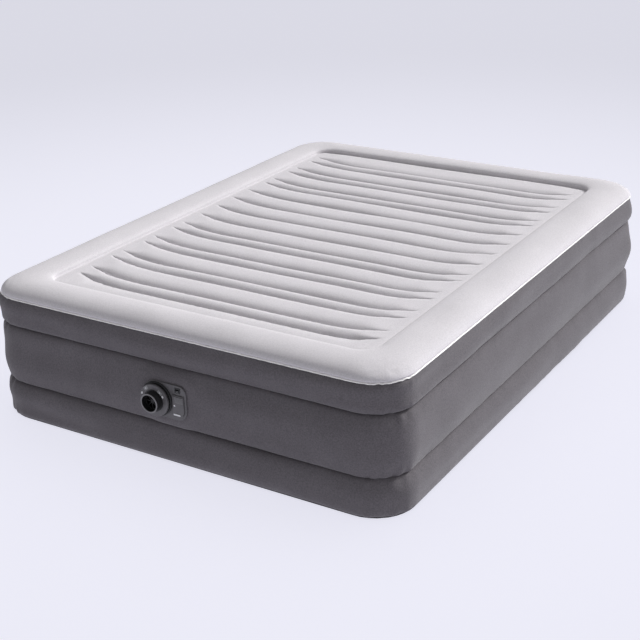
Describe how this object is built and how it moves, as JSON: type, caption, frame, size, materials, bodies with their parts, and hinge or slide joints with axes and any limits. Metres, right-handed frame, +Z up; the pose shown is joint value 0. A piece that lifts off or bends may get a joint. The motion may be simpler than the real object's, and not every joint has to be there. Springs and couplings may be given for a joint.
{
  "type": "raised air bed",
  "caption": "Raised double-height flocked air bed with a sunk, wave-ribbed sleeping surface, and a built-in electric pump behind a dial, rocker switch and cord compartment in one end.",
  "frame": {"origin": "on the floor, under the middle of the bed's base (not counting the proud pump dial)", "axes": "+X across the bed, towards its right side seen from the pump end; +Y along the bed, away from the pump end; +Z up"},
  "size_m": [1.5196, 2.0808, 0.46],
  "materials": {
    "wall_flocking": "velvety flocking on PVC, dark grey",
    "top_flocking": "velvety flocking on PVC, pale grey",
    "base_sheet": "smooth PVC sheet",
    "web_sheet": "fibre-reinforced PVC",
    "weld_bead": "welded PVC piping",
    "collar_vinyl": "smooth PVC",
    "grey_plastic": "fine-textured moulded plastic",
    "black_plastic": "moulded plastic",
    "gloss_black": "glossy moulded plastic",
    "trim_grey": "worn moulded lip",
    "seal_rubber": "soft rubber",
    "steel": "plated steel",
    "motor_steel": "zinc-plated steel",
    "magnet_grey": "sintered ferrite",
    "bronze_bush": "sintered bronze",
    "copper_armature": "enamelled copper windings on steel laminations"
  },
  "bodies": {
    "base": {"bottom_panel": "base_sheet", "side_band_lower": "wall_flocking", "fibre_web_01": "web_sheet", "fibre_web_02": "web_sheet", "fibre_web_03": "web_sheet", "fibre_web_04": "web_sheet", "fibre_web_05": "web_sheet", "fibre_web_06": "web_sheet", "fibre_web_07": "web_sheet", "fibre_web_08": "web_sheet", "fibre_web_09": "web_sheet", "fibre_web_10": "web_sheet", "fibre_web_11": "web_sheet", "fibre_web_12": "web_sheet", "fibre_web_13": "web_sheet", "fibre_web_14": "web_sheet", "fibre_web_15": "web_sheet", "fibre_web_16": "web_sheet", "fibre_web_17": "web_sheet", "fibre_web_18": "web_sheet"},
    "pump_band": {"side_band_middle": "wall_flocking", "pump_wall_panel": "wall_flocking", "belt_lower": "web_sheet", "belt_upper": "web_sheet", "side_band_upper": "wall_flocking", "pump_collar": "collar_vinyl", "pump_housing": "black_plastic", "pump_rear_cover": "black_plastic", "housing_seal": "seal_rubber", "faceplate": "grey_plastic", "dial_bezel": "black_plastic", "port_plate": "black_plastic", "fan_volute": "black_plastic", "motor_mount": "black_plastic", "motor_can": "motor_steel", "motor_end_bell": "motor_steel", "motor_magnets": "magnet_grey", "motor_bushes": "bronze_bush", "cord_tray": "black_plastic", "cord_gland": "seal_rubber", "rocker_housing": "gloss_black", "door_hinge_pin": "steel", "valve_seat": "seal_rubber", "housing_screws": "steel", "valve_spring": "steel"},
    "top": {"top_panel": "top_flocking", "top_weld_bead": "weld_bead"},
    "dial": {"mode_dial": "grey_plastic", "dial_retainer": "black_plastic", "air_nozzle": "black_plastic", "nozzle_trim": "trim_grey", "nozzle_grille": "black_plastic", "selector_drum": "black_plastic"},
    "fan": {"impeller": "black_plastic", "motor_shaft": "steel", "armature": "copper_armature"},
    "cord_door": {"cord_door": "grey_plastic"},
    "rocker": {"rocker_button": "gloss_black"},
    "valve": {"valve_poppet": "black_plastic", "valve_clip": "steel"}
  },
  "joints": [
    {"name": "lower_tier", "type": "slide", "parent": "base", "child": "pump_band", "axis": [0, 0, -1], "range_m": [0, 0.07], "stiffness_N_per_m": 6000, "springref_m": -0.03, "deforming": ["side_band_lower", "fibre_web_01", "fibre_web_02", "fibre_web_03", "fibre_web_04", "fibre_web_05", "fibre_web_06", "fibre_web_07", "fibre_web_08", "fibre_web_09", "fibre_web_10", "fibre_web_11", "fibre_web_12", "fibre_web_13", "fibre_web_14", "fibre_web_15", "fibre_web_16", "fibre_web_17", "fibre_web_18"]},
    {"name": "upper_tier", "type": "slide", "parent": "pump_band", "child": "top", "axis": [0, 0, -1], "range_m": [0, 0.051], "stiffness_N_per_m": 6000, "springref_m": -0.03, "deforming": ["side_band_upper"]},
    {"name": "dial_turn", "type": "hinge", "parent": "pump_band", "child": "dial", "pos_m": [-0.045, -1.018, 0.222], "axis": [0, -1, 0], "range_deg": [-90, 90]},
    {"name": "fan_spin", "type": "hinge", "parent": "pump_band", "child": "fan", "pos_m": [-0.045, -1.018, 0.222], "axis": [0, -1, 0], "continuous": true},
    {"name": "door_swing", "type": "hinge", "parent": "pump_band", "child": "cord_door", "pos_m": [0.039, -1.0263, 0.247], "axis": [1, 0, 0], "range_deg": [-110, 0]},
    {"name": "rocker_press", "type": "hinge", "parent": "pump_band", "child": "rocker", "pos_m": [0.033, -1.02, 0.2645], "axis": [1, 0, 0], "range_deg": [-12, 0]},
    {"name": "valve_lift", "type": "slide", "parent": "pump_band", "child": "valve", "axis": [0, 1, 0], "range_m": [0, 0.01], "stiffness_N_per_m": 80, "springref_m": -0.005, "deforming": ["valve_spring"]}
  ],
  "couplings": [
    {"joint": "upper_tier", "follows": "lower_tier", "ratio": 0.71429}
  ]
}
